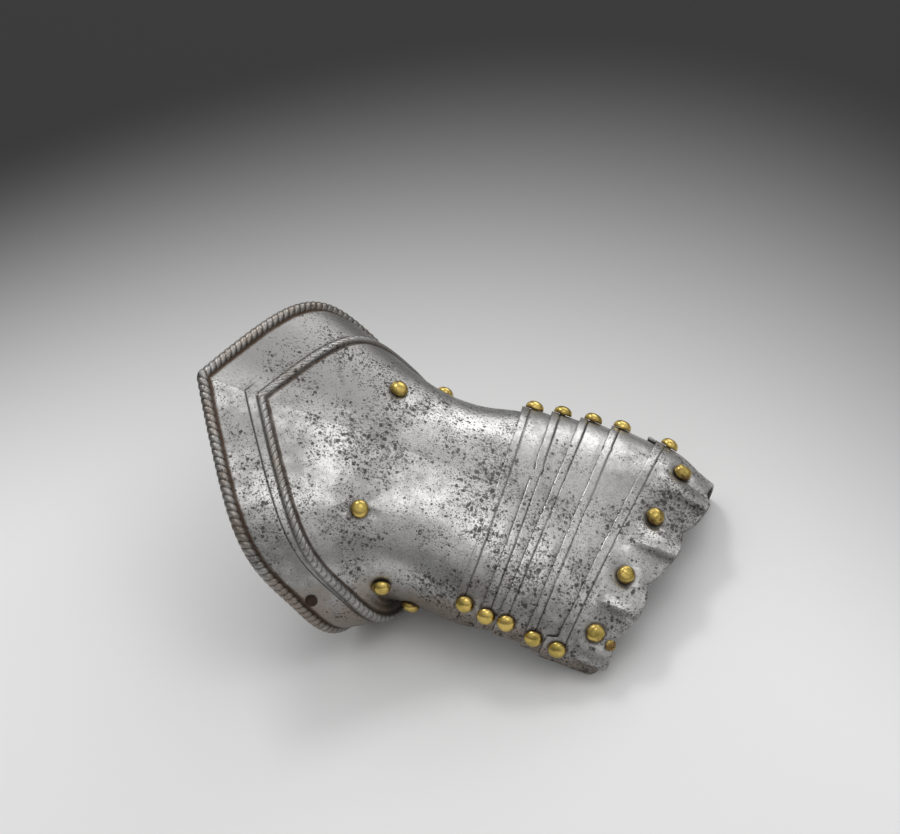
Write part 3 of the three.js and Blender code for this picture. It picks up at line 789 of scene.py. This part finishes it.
def lame_shape(plate):
    """The shape of one lame, for bend_sheet."""
    def shape(line, column, outer):
        angle = LAME_COLUMNS[column]
        rear = rear_edge(plate, angle) + edge_wear(plate, angle)
        front = front_edge(plate, angle)
        crest = rear + (front - rear) * (line / (LAME_LINES - 1)) ** 1.15
        inner = plate_face(plate, crest, angle)
        face = raised_point(crest, angle, inner + PLATE)
        ahead = crest - rear
        incised = groove(ahead - INCISED_AHEAD, 0.5)
        covered = fade(crest, front - UNDERLAP - 3, front - UNDERLAP)
        bare = 1 - np.maximum(covered, fade(np.abs(angle), 74, 82))
        uneven = ripple(30 + plate, (19, 0.16), (8, 0.05))(face)
        height = inner + PLATE - 0.34 * incised + uneven * bare - 0.12 * (1 - bare)
        height -= bound_edges(ahead, 0.36)
        height -= bound_edges((REACH_INDEX - angle) * 0.8) + bound_edges((angle - REACH_LITTLE) * 0.8)
        ring = np.zeros(len(crest))
        for at, around in PLATES[plate]["pivots"]:
            ring = np.maximum(ring, fade(-near(face, float(at), float(around), 3.0), -6.5, -4.0))
        marks = {
            "rust": np.where(outer, np.maximum(0.5 * ring, 0.25 * fade(-ahead, -1.0, -0.1)), 0.5),
            "cut_and_shade": np.where(outer, 0.9 * incised, 0.0),
            "inside": np.where(outer, 0.0, 1.0),
            # painted shade: the lower flanks are dulled and browned, and the little-finger side a little
            "wear_and_shade": 0.8 * fade(np.abs(angle), 66, 96) + 0.30 * fade(-angle, 20, 55),
            "pitted": 0.25 + 0.55 * fade(-angle, -30, 5),
        }
        return raised_point(crest, angle, np.where(outer, height, inner)), marks

    return shape


for plate in range(KNUCKLES):
    name = PLATES[plate]["name"]
    lame_mesh, lame_marks = bend_sheet(name + "_sheet", LAME_LINES, len(LAME_COLUMNS), lame_shape(plate))
    finish_piece(name + "_sheet", lame_mesh, f"lame_{plate + 1}", STEEL, [name], lame_marks)

# --- Knuckle plate ------------------------------------------------------------------------------
# The last plate is embossed with a swelling over each knuckle that drops to a crease, and dished
# round the four rivets between them. Its front is cut to lobes and two ears run back at its sides.
KNUCKLE_RIVETS = [
    ("knuckle_rivet_1", 206.0, 43), ("knuckle_rivet_2", 201.2, 11),
    ("knuckle_rivet_3", 197.4, -22), ("knuckle_rivet_4", 193.4, -55),
]
KNUCKLE_LINES = 84
KNUCKLE_COLUMNS = np.unique(np.concatenate([np.linspace(REACH_LITTLE, REACH_INDEX, 330), VALLEYS[:-1]]))


def knuckle_shape(line, column, outer):
    """The knuckle plate's faces, with the dishing round its rivets."""
    angle = KNUCKLE_COLUMNS[column]
    rear = rear_edge(KNUCKLES, angle) + edge_wear(KNUCKLES, angle)
    front = front_edge(KNUCKLES, angle)
    crest = rear + (front - rear) * line / (KNUCKLE_LINES - 1)
    inner = plate_face(KNUCKLES, crest, angle)
    face = raised_point(crest, angle, inner + PLATE)
    ahead = crest - across(PLATES[KNUCKLES]["index"], PLATES[KNUCKLES]["little"], angle)
    incised = groove(ahead - INCISED_AHEAD - 0.4, 0.5) * fade(-np.abs(angle), -88, -80)
    start = rear_edge(KNUCKLES, np.clip(angle, -EAR_ANGLE, EAR_ANGLE)) + KNUCKLE_START
    run = fade(crest, start + 1.5, start + 9)
    shift = 0.25 * groove(knuckle_place(angle), 0.08) * run
    # painted shade: a dark line just below each knuckle's ridge, where the swelling turns from the light
    crease_shade = groove(knuckle_place(angle) - 0.13, 0.11) * run
    ring = np.zeros(len(crest))
    for _, at, around in KNUCKLE_RIVETS:
        off = near(face, at, around, 2.0)
        shift -= 0.55 * np.exp(-(off / 5.6) ** 4)
        ring = np.maximum(ring, fade(-off, -6.4, -4.3))
    for at, around in PLATES[KNUCKLES]["pivots"]:
        ring = np.maximum(ring, fade(-near(face, float(at), float(around), 3.0), -6.5, -4.0))
    shift += ripple(41, (15, 0.22), (7, 0.08))(face)
    height = inner + PLATE + shift - 0.34 * incised
    height -= bound_edges(crest - rear, 0.5) + bound_edges(front - crest, 0.6)
    height -= bound_edges((REACH_INDEX - angle) * 0.8) + bound_edges((angle - REACH_LITTLE) * 0.8)
    marks = {
        "rust": np.where(outer, np.maximum(0.5 * ring, 0.3 * fade(crest - front, -3.0, -0.3)), 0.5),
        "cut_and_shade": np.where(outer, np.maximum(0.9 * incised, 0.55 * crease_shade), 0.0),
        "inside": np.where(outer, 0.0, fade(front - crest, 0.5, 7.0)),
        # painted shade: the lower flanks are dulled and browned
        "wear_and_shade": 0.8 * fade(np.abs(angle), 66, 96),
        "pitted": 0.55 + 0.45 * run - 0.5 * ring,
    }
    under = np.minimum(shift, 0) * fade(ahead, UNDERLAP + 1, UNDERLAP + 5)
    return raised_point(crest, angle, np.where(outer, height, inner + under)), marks


knuckle_mesh, knuckle_marks = bend_sheet(
    "knuckle_plate_sheet", KNUCKLE_LINES, len(KNUCKLE_COLUMNS), knuckle_shape
)
finish_piece(
    "knuckle_plate_sheet", knuckle_mesh, "knuckles", STEEL, ["knuckle_plate"], knuckle_marks
)

# --- Rivets -------------------------------------------------------------------------------------
# Solid brass rivets with high domed heads, clenched flat inside: five pairs are the pivots, six
# held the lining, and the knuckle row and one more inside held the leather under the fingers.
HEAD_RADIUS, HEAD_HEIGHT = 3.95, 3.5
INNER_HEAD_RADIUS = 3.2
SHANK_RADIUS = 1.2
CLENCH_RADIUS, CLENCH_HEIGHT, CLENCH_GAP = 2.2, 0.8, 0.9
RIVET_GAP = 0.12
SEAT_RADIUS = 3.6
TURNS = 32
BRASS_GOLD = (0.68, 0.50, 0.15, 1.0)
BRASS_OLIVE = (0.44, 0.34, 0.09, 1.0)
BRASS_BROWN = (0.22, 0.13, 0.055, 1.0)
BRASS_DIRT_AND_SHADE = (0.03, 0.022, 0.015, 1.0)


def old_brass(name, tarnish):
    """Yellow brass, browned and spotted, with painted shade browning and darkening the foot of each head.
    """
    nodes = Nodes(name)
    spot = nodes.spot
    edge = nodes.mark("edge")
    clouds = nodes.grain(spot, 150.0, 4.0)
    specks = nodes.grain(spot, 900.0, 3.0)
    olive = nodes.span(clouds, 0.42, 0.62)
    colour = nodes.blend_colours(olive, BRASS_GOLD, BRASS_OLIVE)
    spots = nodes.grain(spot, 330.0, 4.0, 0.65)
    # painted shade: the foot of each head is browned
    brown = nodes.sums("ADD", spots, nodes.sums("MULTIPLY", edge, 0.26))
    brown = nodes.span(nodes.sums("ADD", brown, tarnish), 0.60, 0.84)
    colour = nodes.blend_colours(brown, colour, BRASS_BROWN)
    # dirt specks, and painted shade darkening the foot of each head
    dark = nodes.span(nodes.sums("ADD", specks, nodes.sums("MULTIPLY", edge, 0.10)), 0.69, 0.77)
    colour = nodes.blend_colours(dark, colour, BRASS_DIRT_AND_SHADE)
    nodes.feed(colour, nodes.shader, "Base Color")
    nodes.feed(nodes.sums("ADD", 0.27, nodes.sums("MULTIPLY", brown, 0.22)), nodes.shader, "Roughness")
    nodes.emboss(spots, 0.3, 0.12 * MM)
    return nodes.material


BRASS = old_brass("old_brass", 0.0)
BROWN_BRASS = old_brass("browned_brass", 0.09)


def seat_on(face, crest, angle, side=1, seat=SEAT_RADIUS):
    """Where a rivet stands: its foot, its axis away from the sheet, and the lift its flat head
    needs to clear the bent sheet."""
    crest, angle = float(crest), float(angle)
    middle = face(crest, angle)
    along = np.linalg.norm(face(crest + 1, angle) - face(crest - 1, angle)) / 2
    around = np.linalg.norm(face(crest, angle + 1) - face(crest, angle - 1)) / 2
    reach, turn = 4.3 / along, 4.3 / around
    length = face(crest + reach, angle) - face(crest - reach, angle)
    width = face(crest, angle + turn) - face(crest, angle - turn)
    away = np.cross(width, length)
    away /= np.linalg.norm(away)
    away *= side * np.sign(away @ glove_normal(np.array(crest), np.array(angle)))
    ahead, aside = np.meshgrid(np.linspace(-2, 2, 25) * reach, np.linspace(-2, 2, 25) * turn)
    spots = face(crest + ahead, angle + aside) - middle
    under = np.linalg.norm(spots, axis=-1) < seat
    return middle, away, max(0.0, float((spots @ away)[under].max()))


def cuff_outer(crest, angle):
    """The cuff's outer face."""
    return raised_point(crest, angle, np.full(np.shape(crest), PLATE))


def plate_outer(plate):
    """A plate's outer face."""
    def face(crest, angle):
        return raised_point(crest, angle, plate_face(plate, crest, angle) + PLATE)
    return face


def turn_rivet(name, seat, head_radius, head_height, grip, power, dents, material, body):
    """Spins a rivet's outline round Z, dents its head a little and stands it on its seat."""
    middle, away, lift = seat
    base = lift + RIVET_GAP
    neck = -grip - CLENCH_GAP
    outline = [(0, neck - CLENCH_HEIGHT), (CLENCH_RADIUS * 0.8, neck - CLENCH_HEIGHT),
               (CLENCH_RADIUS, neck - CLENCH_HEIGHT * 0.6), (CLENCH_RADIUS * 0.9, neck),
               (SHANK_RADIUS, neck), (SHANK_RADIUS, base)]
    outline += [(head_radius * 0.95, base), (head_radius, base + 0.25)]
    for k in range(1, 12):
        t = k / 12 * math.pi / 2
        radius = head_radius * math.cos(t) ** (2 / power)
        outline.append((radius, base + 0.25 + (head_height - 0.25) * math.sin(t) ** (2 / power)))
    outline.append((0, base + head_height))
    turned = bmesh.new()
    ring = [turned.verts.new((r, 0, z)) for r, z in outline]
    edges = [turned.edges.new(pair) for pair in zip(ring[:-1], ring[1:])]
    bmesh.ops.spin(
        turned, geom=ring + edges, cent=(0, 0, 0), axis=(0, 0, 1),
        angle=2 * math.pi, steps=TURNS, use_merge=True,
    )
    bmesh.ops.remove_doubles(turned, verts=turned.verts[:], dist=1e-4)
    bmesh.ops.recalc_face_normals(turned, faces=turned.faces[:])
    mesh = bpy.data.meshes.new(name)
    turned.to_mesh(mesh)
    turned.free()
    spots = np.array([v.co for v in mesh.vertices])
    hammered = ripple(sum(map(ord, name)), (4.5, dents), (2.4, dents * 0.4))(spots)
    share = np.clip((spots[:, 2] - base) / head_height, 0, 1)
    spots *= (1 + (hammered * share / head_radius))[:, None]
    turn = np.array(Vector((0, 0, 1)).rotation_difference(Vector(away)).to_matrix())
    mesh.vertices.foreach_set("co", lay(spots @ turn.T + middle).astype(np.float32).ravel())
    mesh.update()
    # the edge mark is painted shade, strongest at the foot of the head
    marks = {"edge": 1 - share ** 0.7, "rust": np.full(len(share), 0.6)}
    finish_piece(name + "_turned", mesh, body, material, [name], marks, 50.0)


for name, crest, angle in LINING_RIVETS:
    turn_rivet(
        name, seat_on(cuff_outer, crest, angle),
        HEAD_RADIUS, HEAD_HEIGHT, PLATE, 2.2, 0.12, BRASS, "cuff",
    )
for plate, row in enumerate(PLATES):
    for side, (crest, angle) in zip(("index", "little"), row["pivots"]):
        inner = plate_face(plate - 1, float(crest), float(angle)) if plate else 0.0
        grip = float(plate_face(plate, float(crest), float(angle)) + PLATE - inner)
        body = "knuckles" if plate == KNUCKLES else f"lame_{plate + 1}"
        turn_rivet(
            f"pivot_rivet_{plate + 1}_{side}", seat_on(plate_outer(plate), crest, angle),
            HEAD_RADIUS, HEAD_HEIGHT, grip, 2.2, 0.12, BRASS, body,
        )
for name, crest, angle in KNUCKLE_RIVETS:
    turn_rivet(
        name, seat_on(plate_outer(KNUCKLES), crest, angle),
        HEAD_RADIUS, HEAD_HEIGHT * 0.95, PLATE, 2.3, 0.4, BROWN_BRASS, "knuckles",
    )


def knuckle_inner(crest, angle):
    """The knuckle plate's inner face."""
    return raised_point(crest, angle, plate_face(KNUCKLES, crest, angle))


turn_rivet(
    "finger_leather_rivet", seat_on(knuckle_inner, 200.6, -60, -1),
    INNER_HEAD_RADIUS, HEAD_HEIGHT, PLATE, 2.2, 0.2, BRASS, "knuckles",
)

# --- Stub rivet ---------------------------------------------------------------------------------
# One broken steel rivet left on the flare, its head gone and its shank rusted brown.
STUB_RADIUS, STUB_HEIGHT = 2.6, 1.6
RUSTED = old_steel("rusted_steel", (0.16, 0.13, 0.11, 1.0), (0.09, 0.07, 0.06, 1.0), 0.02, 0.5)
turn_rivet(
    STUB_RIVET[0], seat_on(cuff_outer, *STUB_RIVET[1:], 1, STUB_RADIUS),
    STUB_RADIUS, STUB_HEIGHT, PLATE, 3.0, 0.3, RUSTED, "cuff",
)
